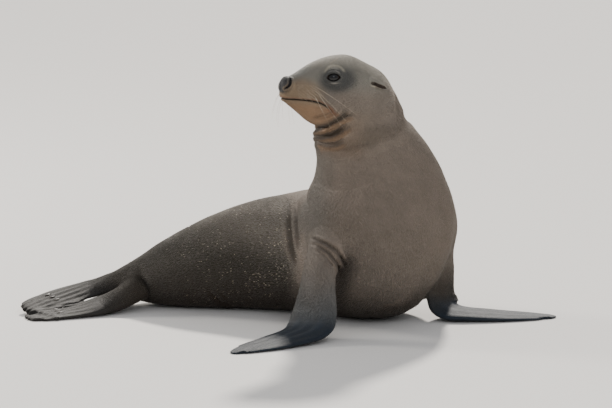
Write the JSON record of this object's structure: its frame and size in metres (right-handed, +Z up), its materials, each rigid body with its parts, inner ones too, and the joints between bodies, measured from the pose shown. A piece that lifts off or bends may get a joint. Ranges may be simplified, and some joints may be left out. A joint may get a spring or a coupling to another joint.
{
  "type": "sea lion",
  "caption": "Still, life-size sea lion sitting on its belly, forebody raised on its foreflippers, head turned back over its right shoulder.",
  "frame": {"origin": "on the floor, under the centre of the model's footprint box", "axes": "+Z up from the floor, +X along the model's length from the hind flippers towards the left foreflipper, +Y away from the side that the face turns to"},
  "size_m": [1.1458, 0.6212, 0.5743],
  "materials": {
    "coat": "short flat fur, grey-brown, paler and tan on the muzzle",
    "naked_skin": "bare dark grey skin, satin",
    "claw": "dark horn",
    "eye": "wet gloss, very dark brown",
    "whisker": "pale cream, slightly translucent bristle"
  },
  "bodies": {
    "root": {"head": "coat", "lower_jaw": "coat", "nose": "naked_skin", "neck": "coat", "chest": "coat", "trunk": "coat", "rump": "coat", "tail": "coat", "foreflipper_right_arm": "coat", "foreflipper_right_blade": "naked_skin", "foreflipper_left_arm": "coat", "foreflipper_left_blade": "naked_skin", "hind_flipper_right": "naked_skin", "hind_flipper_left": "naked_skin", "claw_right_2": "claw", "claw_right_3": "claw", "claw_right_4": "claw", "claw_left_2": "claw", "claw_left_3": "claw", "claw_left_4": "claw", "eye_left": "eye", "eye_right": "eye", "ear_left": "coat", "ear_right": "coat"}
  },
  "joints": []
}
